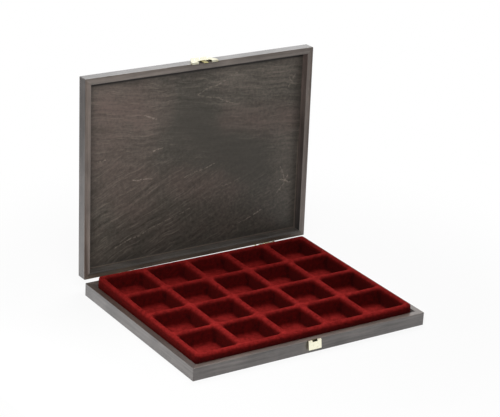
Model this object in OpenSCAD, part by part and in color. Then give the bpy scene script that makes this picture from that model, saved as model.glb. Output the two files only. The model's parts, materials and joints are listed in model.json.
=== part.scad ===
// Flat hinged case of dark veneered wood with a loose flocked tray of square coin pockets.
// Millimetres, +Z up. The origin is the centre of the underside and the front faces -Y.
// The lid is drawn shut and then swung open about the hinge axis, where its stops hold it.

/* [Case] */
// Width of the case, left to right
box_w = 330; // [300:1:400]
// Depth of the case, front to back
box_d = 259; // [230:1:330]
// Height of the base frame
base_h = 16.5; // [15:0.5:24]
// Height of the lid frame
lid_h = 15; // [13:0.5:24]
// Thickness of the frame rails
rail_t = 8; // [7:0.1:12]
// Radius on the long outer edges of the rails
arris_r = 0.8; // [0.2:0.1:1.5]
// Gap between base and lid when shut
shut_gap = 0.3; // [0.2:0.1:0.6]
// Angle at which the lid stands open
lid_open = 91.6; // [85:0.1:105]

/* [Panels] */
// Thickness of the bottom panel
base_panel_t = 4; // [3:0.5:6]
// Thickness of the lid panel
lid_panel_t = 4; // [3:0.5:6]
// Width of the rebate that each panel sits in
rebate_w = 4; // [2:0.1:5]
// Gap round a panel in its rebate
panel_fit = 0.1; // [0.05:0.05:0.3]

/* [Tray] */
// Pockets across the tray
pocket_cols = 5; // [2:1:6]
// Pockets from front to back
pocket_rows = 4; // [2:1:5]
// Gap between tray and side rails
tray_gap_x = 2.2; // [0.5:0.1:4]
// Gap between tray and front and back rails
tray_gap_y = 0.9; // [0.5:0.1:4]
// Room between the tray and the shut lid
tray_head = 3.3; // [2:0.1:6]
// Gap under the tray
tray_seat = 0.2; // [0.1:0.1:0.5]
// Thickness of the flocked sheet
tray_skin = 1.5; // [1:0.1:2]
// Width of a pocket wall just below its rounded crest
crest_w = 7.8; // [7:0.1:10]
// Radius of the crest's shoulders
crest_r = 3; // [1.5:0.1:3.4]
// How far a pocket wall leans out on each side, from crest to floor
wall_lean = 1.1; // [0.4:0.1:2]
// How far the outer skirt leans out
skirt_lean = 0.4; // [0.2:0.1:1]
// How much lower the cross walls are than the long walls
cross_drop = 0.3; // [0.2:0.1:0.6]

/* [Hinges] */
// Distance of each hinge's middle from the side of the case
hinge_in = 59; // [40:1:100]
// Width of a hinge
hinge_w = 30; // [26:1:40]
// Height of a hinge leaf
leaf_h = 11; // [9:0.5:12]
// Thickness of a hinge leaf
leaf_t = 0.8; // [0.5:0.1:1.2]
// Outer radius of a knuckle
knuckle_r = 2.4; // [1.8:0.1:3]
// Width of the lid's middle knuckle
knuckle_w = 8; // [6:0.5:10]
// Gap beside and around a knuckle
knuckle_gap = 0.3; // [0.2:0.1:0.5]
// Radius of the hinge pin
pin_r = 0.9; // [0.6:0.1:1.3]
// Radial clearance of the pin in its knuckles
pin_fit = 0.04; // [0.02:0.01:0.08]
// Radius of the pin's riveted heads
pin_head_r = 1.4; // [1.4:0.1:1.8]
// Thickness of the pin's riveted heads
pin_head_t = 0.6; // [0.3:0.1:0.8]
// Width of each stop ear
ear_w = 1.8; // [1.2:0.1:2.4]
// Thickness of a stop ear's shelf
ear_t = 1.2; // [0.8:0.1:1.6]
// Gap between the stop ears and the open lid's leaf
stop_gap = 0.1; // [0.05:0.05:0.3]

/* [Catch] */
// Width of the catch box
catch_w = 18; // [16:0.2:24]
// Height of the catch box
catch_h = 11; // [10:0.5:14]
// How far the foot of the catch box stands out from the front
catch_out = 5; // [4.6:0.1:7]
// How far the catch box rises above the base's rim
catch_rise = 0.6; // [0.2:0.1:2.5]
// Thickness of the catch's brass sheet
sheet_t = 0.8; // [0.5:0.1:1]
// Width of the notch in the front of the catch box
notch_w = 7; // [5:0.5:9]
// Depth of the notch in the front of the catch box
notch_h = 1.8; // [1.2:0.1:3]
// Width of the clasp plate across its lips
clasp_w = 37; // [34:0.5:44]
// Width of the clasp plate along its upper edge
clasp_top_w = 22; // [18:0.5:30]
// Height of the clasp plate above the lid's rim
clasp_h = 13.5; // [11:0.5:14.5]
// Room between the tongue and the clasp plate over it
clasp_room = 0.2; // [0.1:0.1:0.6]
// How far the lips hang past the lid's rim
lip_drop = 4.5; // [2:0.1:5]
// Side gap between the lips and the catch box
lip_gap = 0.6; // [0.4:0.1:1]
// Width of the spring tongue
tongue_w = 6.4; // [5:0.2:7]
// Thickness of the spring tongue
tongue_t = 0.6; // [0.4:0.1:0.8]
// How far the tongue hangs past the lid's rim
tongue_drop = 6.5; // [4:0.5:7]
// Room round the tongue in the catch box's slot
slot_room = 0.6; // [0.4:0.1:1]

/* [Nails] */
// Radius of a nail's shank
nail_r = 0.6; // [0.4:0.1:0.8]
// Radius of a nail's head
nail_head_r = 1.2; // [1.2:0.1:1.5]
// Height of a nail's domed head
nail_head_h = 0.6; // [0.3:0.1:0.8]
// How deep a nail goes into the wood
nail_len = 5; // [4:0.5:6]
// Radial room of a nail in its hole
nail_fit = 0.02; // [0.01:0.01:0.04]

/* [Hidden] */
$fn = 48;
over = 2;
arc_steps = 4;

// Hinge axis and the height of the shut lid's rim
axis_off = knuckle_r + knuckle_gap;
axis_y = box_d / 2 + axis_off;
axis_z = base_h + shut_gap / 2;
rim_z = base_h + shut_gap;

// Tray, from the space between the panels
tray_w = box_w - 2 * rail_t - 2 * tray_gap_x;
tray_d = box_d - 2 * rail_t - 2 * tray_gap_y;
tray_low = base_panel_t + tray_seat;
tray_top = rim_z + lid_h - lid_panel_t - tray_head;
floor_z = tray_low + tray_skin;
edge_in = skirt_lean + crest_w / 2;
pitch_x = (tray_w - 2 * edge_in) / pocket_cols;
pitch_y = (tray_d - 2 * edge_in) / pocket_rows;
// The skirt's outline stands a little above the crests, so that it only rounds their outer edge
hood_lift = 0.15;
// The square top of a wall's hollow stays this far below the crest, to clear the rounded shoulders
hollow_drop = tray_skin + crest_r / 4;

// Hinge: the knuckles fill the width between the two stop ears
hinge_x = box_w / 2 - hinge_in;
ear_in = hinge_w / 2 - ear_w;
stack_w = 2 * (ear_in - 2 * knuckle_gap - pin_head_t);
knuckle_room = knuckle_r + knuckle_gap;
ear_reach = leaf_h / 2 + axis_off;
ear_drop = 2 * knuckle_gap;
leaf_nail_z = (leaf_h + knuckle_room) / 2;
leaf_nail_x = hinge_w / 3;
// The pin's heads narrow to half way between the pin and their own radius
pin_tip_r = (pin_r + pin_head_r) / 2;

// Catch: the tongue runs down the middle of the slot
catch_low = base_h + catch_rise - catch_h;
slot_w = tongue_w + 2 * slot_room;
tongue_out = sheet_t + slot_room;
slot_out = tongue_out + tongue_t + slot_room;
catch_top_out = slot_out + sheet_t;
clasp_out = tongue_out + tongue_t + clasp_room + sheet_t;
catch_nail_x = (slot_w + catch_w - 2 * sheet_t) / 4;
catch_nail_z = catch_low + catch_h / 2;
lip_x = catch_w / 2 + lip_gap;
clasp_mid_z = max(rim_z, base_h + catch_rise) + lip_gap;
clasp_flare = (clasp_w - clasp_top_w) / 2 / clasp_h;
// Thickness of the plate's leaning sides, measured along X
clasp_side_t = sheet_t * norm([1, clasp_flare]);
// Room between the lips and the base's front
lip_clear = 0.3;
clasp_nail_z = rim_z + clasp_h / 2;
clasp_nail_x = (tongue_w / 2 + clasp_half(clasp_nail_z)) / 2;
tongue_nail_z = rim_z + clasp_h * 3 / 4;
tongue_top = rim_z + clasp_h - 2 * sheet_t;
tongue_joggle_z = tongue_nail_z - 2 * nail_head_r;

wood = "#5a504b";
brass = "#d8c27a";
flock = "#8e1c1e";

// Points along an arc about (cx, cy), from angle a to angle b
function arc(cx, cy, r, a, b) = [
    for (i = [0:arc_steps])
        let (t = a + (b - a) * i / arc_steps)
            [cx + r * cos(t), cy + r * sin(t)]
];

// Half the width of the clasp plate at a height above the base
function clasp_half(z) = clasp_w / 2 - max(z - rim_z, 0) * clasp_flare;

// Swings a shut lid piece open about the hinge axis
module lid_pose() {
    translate([0, axis_y, axis_z])
        rotate([-lid_open, 0, 0])
            translate([0, -axis_y, -axis_z])
                children();
}

// Turns the lid frame over, so that its panel is on top and its rim on the base
module lid_shut() {
    translate([0, 0, rim_z + lid_h])
        mirror([0, 0, 1])
            children();
}

// Runs a profile drawn in Y and Z along X
module along_x(length) {
    rotate([90, 0, 90])
        linear_extrude(height = length, center = true)
            children();
}

// Runs a profile drawn in X and Z along Y
module along_y(length) {
    rotate([90, 0, 0])
        linear_extrude(height = length, center = true)
            children();
}

// A box that is centred on X
module slab(width, y0, y1, z0, z1) {
    translate([-width / 2, y0, z0])
        cube([width, y1 - y0, z1 - z0]);
}

// Places children at the left hinge (-1) or the right hinge (1)
module at_hinge(side) {
    translate([side * hinge_x, 0, 0])
        children();
}

// Rail section: outer face at 0, inner face at the rail's thickness
module rail_section(height) {
    polygon(concat(
        arc(arris_r, arris_r, arris_r, 270, 180),
        arc(arris_r, height - arris_r, arris_r, 180, 90),
        [[rail_t, height], [rail_t, 0]]
    ));
}

// One mitred rail along the side that faces -Y, with the rebate for its panel
module rail(length, reach, height, panel_w, panel_d, panel_t) {
    inner = rail_t + over;
    difference() {
        intersection() {
            translate([0, -reach, 0])
                along_x(length + 2 * over)
                    rail_section(height);
            translate([0, 0, -over])
                linear_extrude(height = height + 2 * over)
                    polygon([
                        [-length / 2 - over, -reach - over],
                        [length / 2 + over, -reach - over],
                        [length / 2 - inner, -reach + inner],
                        [-length / 2 + inner, -reach + inner]
                    ]);
        }
        slab(panel_w, -panel_d / 2, panel_d / 2, -over, panel_t);
    }
}

// Rail of the long sides (front, back) or the short sides (left, right), turned to its place
module frame_rail(turn, height, panel_t) {
    across = turn % 180 == 0;
    length = across ? box_w : box_d;
    reach = (across ? box_d : box_w) / 2;
    seat = 2 * (rebate_w - rail_t);
    rotate([0, 0, turn])
        rail(length, reach, height, length + seat, 2 * reach + seat, panel_t);
}

// Panel that sits in the frame's rebate, flush with the outside
module frame_panel(panel_t) {
    size_w = box_w + 2 * (rebate_w - rail_t - panel_fit);
    size_d = box_d + 2 * (rebate_w - rail_t - panel_fit);
    slab(size_w, -size_d / 2, size_d / 2, 0, panel_t);
}

// One nail: its head's underside is at the origin, its head points to -Y and its shank ends at depth
module nail(depth) {
    rotate([90, 0, 0])
        rotate_extrude()
            polygon(concat(
                [[0, -depth], [nail_r, -depth + nail_r], [nail_r, 0]],
                [for (p = arc(0, 0, 1, 0, 90)) [nail_head_r * p[0], nail_head_h * p[1]]]
            ));
}

// Hole for a nail, from inside the wood to beyond the plate
module nail_hole(depth) {
    rotate([90, 0, 0])
        translate([0, 0, -depth - nail_fit])
            cylinder(r = nail_r + nail_fit, h = depth + nail_fit + over);
}

// Places of the hinge nails: dir is -1 on the base's leaves and 1 on the lid's
module at_leaf_nails(dir) {
    for (side = [-1, 1])
        for (step = [-1, 0, 1])
            translate([side * hinge_x + step * leaf_nail_x, box_d / 2 + leaf_t, axis_z + dir * leaf_nail_z])
                rotate([0, 0, 180])
                    children();
}

// Places of the nails on the back plate inside the catch box
module at_catch_nails() {
    for (side = [-1, 1])
        translate([side * catch_nail_x, -box_d / 2 - sheet_t, catch_nail_z])
            children();
}

// Places of the two nails at the sides of the clasp plate
module at_clasp_nails() {
    for (side = [-1, 1])
        translate([side * clasp_nail_x, -box_d / 2 - clasp_out, clasp_nail_z])
            children();
}

// Place of the nail that holds the clasp plate and the tongue in the middle
module at_tongue_nail() {
    translate([0, -box_d / 2 - clasp_out, tongue_nail_z])
        children();
}

// Knuckle between two distances from the hinge's middle
module knuckle(from, to) {
    translate([from, axis_y, axis_z])
        rotate([0, 90, 0])
            cylinder(r = knuckle_r, h = to - from);
}

// Bore of the pin through a leaf
module pin_bore() {
    translate([-hinge_w, axis_y, axis_z])
        rotate([0, 90, 0])
            cylinder(r = pin_r + pin_fit, h = 2 * hinge_w);
}

// Base leaf: two outer knuckles, and an ear at each end that stops the lid
module base_leaf() {
    inner = knuckle_w / 2 + knuckle_gap;
    outer = stack_w / 2;
    back = box_d / 2;
    shelf_z = axis_z - ear_drop;
    difference() {
        union() {
            slab(hinge_w, back, back + leaf_t, axis_z - leaf_h, axis_z - knuckle_room);
            for (side = [0, 1])
                mirror([side, 0, 0]) {
                    knuckle(inner, outer);
                    translate([(inner + outer) / 2, 0, 0])
                        slab(outer - inner, back, back + leaf_t, axis_z - leaf_h, axis_z);
                    translate([ear_in + ear_w / 2, 0, 0])
                        stop_ear(back, shelf_z);
                }
        }
        pin_bore();
        translate([-hinge_x, 0, 0])
            at_leaf_nails(-1)
                nail_hole(over);
    }
}

// Stop ear: a shelf out from the leaf and a post under the open lid's leaf
module stop_ear(back, shelf_z) {
    tip = back + axis_off + ear_reach;
    post = 2 * ear_t;
    slab(ear_w, back, back + leaf_t, axis_z - leaf_h, shelf_z);
    slab(ear_w, back, tip, shelf_z - ear_t, shelf_z);
    difference() {
        slab(ear_w, tip - post, tip, shelf_z - ear_t, axis_z + axis_off);
        lid_pose()
            slab(2 * ear_w, back - over, back + leaf_t + stop_gap, axis_z, axis_z + leaf_h + over);
    }
}

// Lid leaf, drawn shut: one middle knuckle and a full-width plate above the knuckles
module lid_leaf() {
    back = box_d / 2;
    difference() {
        union() {
            slab(hinge_w, back, back + leaf_t, axis_z + knuckle_room, axis_z + leaf_h);
            slab(knuckle_w, back, back + leaf_t, axis_z, axis_z + leaf_h);
            knuckle(-knuckle_w / 2, knuckle_w / 2);
        }
        pin_bore();
        translate([-hinge_x, 0, 0])
            at_leaf_nails(1)
                nail_hole(over);
    }
}

// Hinge pin with a riveted head at each end
module hinge_pin() {
    head_x = stack_w / 2 + knuckle_gap;
    translate([0, axis_y, axis_z])
        rotate([0, 90, 0]) {
            cylinder(r = pin_r, h = 2 * head_x, center = true);
            for (side = [0, 1])
                mirror([0, 0, side])
                    translate([0, 0, head_x])
                        cylinder(r1 = pin_head_r, r2 = pin_tip_r, h = pin_head_t);
        }
}

// Outline under a row of pocket walls: pockets between them, and a flat run off both ends
module comb(span, count, pitch, top) {
    half = count * pitch / 2;
    foot = crest_w / 2 + wall_lean;
    shoulder = crest_w / 2 - crest_r;
    rise = top - crest_r;
    last = span / 2 + over;
    polygon(concat(
        [[-last, tray_low], [-last, top]],
        [for (i = [0:count]) let (c = i * pitch - half) each concat(
            i == 0 ? [] : concat([[c - foot, floor_z]], arc(c - shoulder, rise, crest_r, 180, 90)),
            i == count ? [] : concat(arc(c + shoulder, rise, crest_r, 90, 0), [[c + foot, floor_z]])
        )],
        [[last, top], [last, tray_low]]
    ));
}

// Outline of the tray's skirt, with rounded upper edges
module hood(span) {
    shoulder = span / 2 - skirt_lean - crest_r;
    top = tray_top + hood_lift;
    polygon(concat(
        [[-span / 2, tray_low - over]],
        arc(-shoulder, top - crest_r, crest_r, 180, 90),
        arc(shoulder, top - crest_r, crest_r, 90, 0),
        [[span / 2, tray_low - over]]
    ));
}

// Hollow under one pocket wall, seen from its end; a border wall follows the skirt on its far side
module wall_hollow(border, top) {
    wide = crest_w / 2 + wall_lean - tray_skin;
    narrow = crest_w / 2 - tray_skin;
    peak = top - hollow_drop;
    foot = border ? narrow + skirt_lean : wide;
    polygon([[-wide, tray_low - over], [-narrow, peak], [narrow, peak], [foot, tray_low - over]]);
}

// Hollows under all the walls that run one way
module wall_hollows(count, pitch, top) {
    half = count * pitch / 2;
    for (i = [0:count])
        translate([i * pitch - half, 0, 0])
            mirror([i == 0 ? 1 : 0, 0, 0])
                wall_hollow(i == 0 || i == count, top);
}

module base_front_rail() {
    color(wood)
        difference() {
            frame_rail(0, base_h, base_panel_t);
            at_catch_nails()
                nail_hole(nail_len + sheet_t);
        }
}

module base_back_rail() {
    color(wood)
        difference() {
            frame_rail(180, base_h, base_panel_t);
            at_leaf_nails(-1)
                nail_hole(nail_len + leaf_t);
        }
}

module base_left_rail() {
    color(wood)
        frame_rail(270, base_h, base_panel_t);
}

module base_right_rail() {
    color(wood)
        frame_rail(90, base_h, base_panel_t);
}

module base_panel() {
    color(wood)
        frame_panel(base_panel_t);
}

module lid_front_rail() {
    color(wood)
        lid_pose()
            difference() {
                lid_shut()
                    frame_rail(0, lid_h, lid_panel_t);
                at_clasp_nails()
                    nail_hole(nail_len + clasp_out);
                at_tongue_nail()
                    nail_hole(nail_len + clasp_out);
            }
}

module lid_back_rail() {
    color(wood)
        lid_pose()
            difference() {
                lid_shut()
                    frame_rail(180, lid_h, lid_panel_t);
                at_leaf_nails(1)
                    nail_hole(nail_len + leaf_t);
            }
}

module lid_left_rail() {
    color(wood)
        lid_pose()
            lid_shut()
                frame_rail(270, lid_h, lid_panel_t);
}

module lid_right_rail() {
    color(wood)
        lid_pose()
            lid_shut()
                frame_rail(90, lid_h, lid_panel_t);
}

module lid_panel() {
    color(wood)
        lid_pose()
            lid_shut()
                frame_panel(lid_panel_t);
}

module coin_tray() {
    cross_top = tray_top - cross_drop;
    hollow_d = tray_d - 2 * (skirt_lean + tray_skin);
    hollow_w = tray_w - 2 * (skirt_lean + tray_skin);
    color(flock)
        difference() {
            intersection() {
                union() {
                    along_y(tray_d + 2 * over)
                        comb(tray_w, pocket_cols, pitch_x, tray_top);
                    along_x(tray_w + 2 * over)
                        comb(tray_d, pocket_rows, pitch_y, cross_top);
                }
                along_y(tray_d + over)
                    hood(tray_w);
                along_x(tray_w + over)
                    hood(tray_d);
            }
            along_y(hollow_d)
                wall_hollows(pocket_cols, pitch_x, cross_top - cross_drop);
            along_x(hollow_w)
                wall_hollows(pocket_rows, pitch_y, cross_top);
        }
}

module hinge_leaf_base_left() {
    color(brass)
        at_hinge(-1)
            base_leaf();
}

module hinge_leaf_base_right() {
    color(brass)
        at_hinge(1)
            base_leaf();
}

module hinge_leaf_lid_left() {
    color(brass)
        lid_pose()
            at_hinge(-1)
                lid_leaf();
}

module hinge_leaf_lid_right() {
    color(brass)
        lid_pose()
            at_hinge(1)
                lid_leaf();
}

module hinge_pin_left() {
    color(brass)
        at_hinge(-1)
            hinge_pin();
}

module hinge_pin_right() {
    color(brass)
        at_hinge(1)
            hinge_pin();
}

module hinge_nails_base() {
    color(brass)
        at_leaf_nails(-1)
            nail(nail_len + leaf_t);
}

module hinge_nails_lid() {
    color(brass)
        lid_pose()
            at_leaf_nails(1)
                nail(nail_len + leaf_t);
}

// Section of the catch box, or of its hollow: a face that leans back from the foot to the top
module catch_section(skin) {
    front = -box_d / 2;
    polygon([
        [front - skin, catch_low + skin],
        [front - catch_out + skin, catch_low + skin],
        [front - catch_top_out + skin, catch_low + catch_h - skin],
        [front - skin, catch_low + catch_h - skin]
    ]);
}

module catch_box() {
    front = -box_d / 2;
    top = catch_low + catch_h;
    slot_top = front - slot_out;
    color(brass)
        difference() {
            along_x(catch_w)
                catch_section(0);
            along_x(catch_w - 2 * sheet_t)
                catch_section(sheet_t);
            slab(slot_w, slot_top, front - sheet_t, top - sheet_t - over, top + over);
            slab(notch_w, front - catch_out - over, slot_top + over / 2, top - notch_h, top + over);
            at_catch_nails()
                nail_hole(over);
        }
}

module catch_nails() {
    color(brass)
        at_catch_nails()
            nail(nail_len + sheet_t);
}

// Clasp plate seen from the front: straight lips below, sides that lean in to the upper edge
module clasp_shape(skin, low, high) {
    right = [for (z = [low, rim_z, high]) [clasp_half(z) - skin, z]];
    left = [for (z = [high, rim_z, low]) [skin - clasp_half(z), z]];
    polygon(concat(right, left));
}

module clasp_plate() {
    front = -box_d / 2;
    face = front - clasp_out;
    top = rim_z + clasp_h;
    color(brass)
        lid_pose()
            difference() {
                translate([0, front - clasp_out / 2, 0])
                    along_y(clasp_out)
                        clasp_shape(0, rim_z - lip_drop, top);
                translate([0, front + sheet_t, 0])
                    along_y(2 * clasp_out)
                        clasp_shape(clasp_side_t, rim_z - lip_drop / 2, top - sheet_t);
                slab(2 * lip_x, face - over, front + over, rim_z - lip_drop - over, clasp_mid_z);
                slab(clasp_w + over, front - lip_clear, front + over, rim_z - lip_drop - over, rim_z);
                at_clasp_nails()
                    nail_hole(over);
                at_tongue_nail()
                    nail_hole(over);
            }
}

module clasp_tongue() {
    low = rim_z - tongue_drop;
    bend_z = clasp_mid_z + lip_gap;
    front = -box_d / 2;
    color(brass)
        lid_pose()
            difference() {
                along_x(tongue_w)
                    polygon([
                        [front, tongue_top],
                        [front, tongue_joggle_z],
                        [front - tongue_out, bend_z],
                        [front - tongue_out, low + tongue_t],
                        [front - tongue_out + tongue_t / 2, low],
                        [front - tongue_out - tongue_t / 2, low],
                        [front - tongue_out - tongue_t, low + tongue_t],
                        [front - tongue_out - tongue_t, bend_z],
                        [front - tongue_t, tongue_joggle_z],
                        [front - tongue_t, tongue_top]
                    ]);
                at_tongue_nail()
                    nail_hole(clasp_out + over);
            }
}

module clasp_nails() {
    color(brass)
        lid_pose() {
            at_clasp_nails()
                nail(nail_len + clasp_out);
            at_tongue_nail()
                nail(nail_len + clasp_out);
        }
}

base_front_rail();
base_back_rail();
base_left_rail();
base_right_rail();
base_panel();
lid_front_rail();
lid_back_rail();
lid_left_rail();
lid_right_rail();
lid_panel();
coin_tray();
hinge_leaf_base_left();
hinge_leaf_base_right();
hinge_leaf_lid_left();
hinge_leaf_lid_right();
hinge_pin_left();
hinge_pin_right();
hinge_nails_base();
hinge_nails_lid();
catch_box();
catch_nails();
clasp_plate();
clasp_tongue();
clasp_nails();
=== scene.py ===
import json
import math
import bpy
import numpy as np
from mathutils import Matrix


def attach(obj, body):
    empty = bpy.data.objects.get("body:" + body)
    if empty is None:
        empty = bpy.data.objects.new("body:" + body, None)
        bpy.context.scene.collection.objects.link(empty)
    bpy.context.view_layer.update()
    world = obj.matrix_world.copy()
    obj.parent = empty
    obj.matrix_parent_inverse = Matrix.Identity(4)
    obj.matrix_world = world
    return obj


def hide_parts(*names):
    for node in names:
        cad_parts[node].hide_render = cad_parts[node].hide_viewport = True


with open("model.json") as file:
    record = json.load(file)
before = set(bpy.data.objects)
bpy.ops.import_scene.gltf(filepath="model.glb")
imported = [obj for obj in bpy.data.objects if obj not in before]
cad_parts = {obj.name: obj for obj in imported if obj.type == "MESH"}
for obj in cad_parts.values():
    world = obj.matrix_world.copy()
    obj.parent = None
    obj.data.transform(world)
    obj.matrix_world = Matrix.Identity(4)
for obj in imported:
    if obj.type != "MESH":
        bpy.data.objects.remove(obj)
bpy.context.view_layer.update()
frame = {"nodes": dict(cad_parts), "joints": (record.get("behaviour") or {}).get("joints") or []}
bpy.context.scene.view_settings.view_transform = "Standard"
print("frame loaded, nodes:", len(frame["nodes"]))

# The lid's pieces are worked out shut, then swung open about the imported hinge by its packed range
lidJoint = next(j for j in frame["joints"] if j["name"] == "lid_hinge")
hingePoint = np.array(lidJoint["pos_m"])
openAngle = math.radians(-lidJoint["range_deg"][0])


def swing(points, angle):
    # turn about the hinge line along X: y' = y cos a - z sin a, z' = y sin a + z cos a
    turned = np.array(points, float)
    y = turned[..., 1] - hingePoint[1]
    z = turned[..., 2] - hingePoint[2]
    turned[..., 1] = hingePoint[1] + y * math.cos(angle) - z * math.sin(angle)
    turned[..., 2] = hingePoint[2] + y * math.sin(angle) + z * math.cos(angle)
    return turned


def nodeBox(node, shut=False):
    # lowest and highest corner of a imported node, with the lid shut first if asked
    mesh = frame["nodes"][node].data
    points = np.zeros(len(mesh.vertices) * 3, np.float32)
    mesh.vertices.foreach_get("co", points)
    points = points.reshape(-1, 3)
    if shut:
        points = swing(points, openAngle)
    return points.min(0).astype(float), points.max(0).astype(float)


# Sizes of the case, all read from the frame
frontLow, frontHigh = nodeBox("base_front_rail")
sideLow, sideHigh = nodeBox("base_left_rail")
lidLow, lidHigh = nodeBox("lid_front_rail", shut=True)
caseWidth = frontHigh[0] - frontLow[0]
caseDepth = sideHigh[1] - sideLow[1]
railThick = frontHigh[1] - frontLow[1]
baseHeight = frontHigh[2]
lidHeight = lidHigh[2] - lidLow[2]
rimLevel = lidLow[2]
basePanelLow, basePanelHigh = nodeBox("base_panel")
lidPanelLow, lidPanelHigh = nodeBox("lid_panel", shut=True)
basePanelThick = basePanelHigh[2] - basePanelLow[2]
lidPanelThick = lidPanelHigh[2] - lidPanelLow[2]
rebateWidth = railThick - (caseWidth - (basePanelHigh[0] - basePanelLow[0])) / 2
panelOpening = (caseWidth / 2 - railThick, caseDepth / 2 - railThick)  # half sizes


# Camera, solved from the edges of the case in the 500 x 417 photograph
camera = {
    "place": (-1.15741, -1.69630, 0.96467), "clipNear": 0.05, "clipFar": 50.0,  # metres
    "yaw": 34.005, "pitch": 22.013, "roll": 3.232,  # degrees
    "focalPixels": 1836.51, "imageWidth": 500, "sensor": 36.0,
}


def addObject(name, data):
    obj = bpy.data.objects.new(name, data)
    bpy.context.scene.collection.objects.link(obj)
    return obj


def placeAxes(obj, right, up, back, place):
    # puts an object's X, Y and Z along three directions and its origin at a place
    axes = np.eye(4)
    axes[:3] = np.stack([right, up, back, place], -1)
    obj.matrix_world = Matrix(axes.tolist())


def makeCamera(cam):
    # yaw turns from +Y towards +X, pitch looks down, roll tilts the picture
    yaw, pitch, roll = (math.radians(cam[k]) for k in ("yaw", "pitch", "roll"))
    level = math.cos(pitch)
    ahead = np.array([math.sin(yaw) * level, math.cos(yaw) * level, -math.sin(pitch)])
    right = np.array([math.cos(yaw), -math.sin(yaw), 0.0])
    up = np.cross(right, ahead)
    rolledRight = math.cos(roll) * right + math.sin(roll) * up
    rolledUp = math.cos(roll) * up - math.sin(roll) * right
    data = bpy.data.cameras.new("photoCamera")
    data.sensor_width = cam["sensor"]
    data.lens = cam["focalPixels"] * cam["sensor"] / cam["imageWidth"]
    data.clip_start, data.clip_end = cam["clipNear"], cam["clipFar"]
    obj = addObject("photoCamera", data)
    placeAxes(obj, rolledRight, rolledUp, -ahead, cam["place"])
    bpy.context.scene.camera = obj


makeCamera(camera)
print("camera placed")


# Mesh helpers: a piece is rows of quads with one UV for each corner

def gridQuads(rows, cols):
    # quads of a rows x cols grid of points whose last column joins its first
    r = np.arange(rows - 1)[:, None]
    c = np.arange(cols)[None, :]
    nextC = (c + 1) % cols
    quads = np.stack([r * cols + c, r * cols + nextC, (r + 1) * cols + nextC, (r + 1) * cols + c], -1)
    return quads.reshape(-1, 4)


def facesInwards(points, quads):
    # the signed volume about the mean point, the sum of a . (b x c + c x d) over the quads, is below nought
    a, b, c, d = np.moveaxis((points - points.mean(0))[quads], 1, 0)
    return (a * (np.cross(b, c) + np.cross(c, d))).sum() < 0


def addLevel(plan, level):
    # rows of points in plan, with one level for each row
    return np.concatenate([plan, np.broadcast_to(level[:, None, None], (*plan.shape[:2], 1))], -1)


def addPiece(name, node, points, faceLists, uvMaps, material, body):
    # a mesh in a node's place; each UV map is a list of arrays of corners, one for each array of faces
    mesh = bpy.data.meshes.new(name)
    mesh.from_pydata(points.tolist(), [], sum((faces.tolist() for faces in faceLists), []))
    for label, blocks in uvMaps.items():
        corners = np.concatenate([block.reshape(-1, 2) for block in blocks]).astype(np.float32)
        mesh.uv_layers.new(name=label).data.foreach_set("uv", corners.ravel())
    mesh.polygons.foreach_set("use_smooth", np.full(len(mesh.polygons), True))
    mesh.materials.append(material)
    mesh.validate()
    mesh.update()
    obj = addObject(name, mesh)
    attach(obj, body)
    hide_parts(node)
    return obj


def spin(angle):
    # turns rows of (x, y): x' = x cos a - y sin a, y' = x sin a + y cos a
    c, s = math.cos(angle), math.sin(angle)
    return np.array([[c, s], [-s, c]])


def roundedLoop(corners, radii, steps, support):
    # closed outline of right-angled corners: each an arc of its radius, with a support point on either side
    corners = np.asarray(corners, float)
    angles = np.linspace(0, math.pi / 2, steps + 1)[:, None]
    parts = []
    for i, radius in enumerate(radii):
        here, before, after = corners[i], corners[i - 1], corners[(i + 1) % len(corners)]
        arrive = (here - before) / np.linalg.norm(here - before)
        leave = (after - here) / np.linalg.norm(after - here)
        middle = here + (leave - arrive) * radius
        arc = middle + radius * (np.sin(angles) * arrive - np.cos(angles) * leave)
        parts += [[here - arrive * (radius + support)], arc, [here + leave * (radius + support)]]
    return np.concatenate(parts)


# Shader helpers

def clearTree(owner):
    owner.use_nodes = True
    owner.node_tree.nodes.clear()
    return owner.node_tree


def setSockets(node, sockets):
    # by name or index: linked where the value is another node's output, and set otherwise
    for key, value in sockets.items():
        if isinstance(value, bpy.types.NodeSocket):
            node.id_data.links.new(value, node.inputs[key])
        else:
            node.inputs[key].default_value = value


def addNode(kind, sockets, tree=None, **settings):
    # in the tree given, or else in the tree of the outputs that the node takes
    tree = tree or next(s.id_data for s in sockets.values() if isinstance(s, bpy.types.NodeSocket))
    node = tree.nodes.new("ShaderNode" + kind)
    for key, value in settings.items():
        setattr(node, key, value)
    setSockets(node, sockets)
    return node


def newMaterial(name):
    material = bpy.data.materials.new(name)
    tree = clearTree(material)
    shader = addNode("BsdfPrincipled", {}, tree)
    addNode("OutputMaterial", {"Surface": shader.outputs["BSDF"]})
    return material, tree, shader


def newGroup(name, inlets, outlets):
    # an empty node group of the named inlets and value outlets, with its sockets to link inside
    group = bpy.data.node_groups.new(name, "ShaderNodeTree")
    for label, kind in inlets.items():
        group.interface.new_socket(label, in_out="INPUT", socket_type="NodeSocket" + kind)
    for label in outlets:
        group.interface.new_socket(label, in_out="OUTPUT", socket_type="NodeSocketFloat")
    return group, group.nodes.new("NodeGroupInput").outputs, group.nodes.new("NodeGroupOutput").inputs


def mathNode(operation, a, b=0.0, clamp=False):
    return addNode("Math", {0: a, 1: b}, operation=operation, use_clamp=clamp).outputs[0]


def plus(a, b, clamp=False):
    return mathNode("ADD", a, b, clamp)


def minus(a, b, clamp=False):
    return mathNode("SUBTRACT", a, b, clamp)


def times(a, b):
    return mathNode("MULTIPLY", a, b)


def vectorNode(operation, a, b=(0.0, 0.0, 0.0), output="Vector"):
    return addNode("VectorMath", {0: a, 1: b}, operation=operation).outputs[output]


def separate(vector):
    return addNode("SeparateXYZ", {0: vector}).outputs


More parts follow.
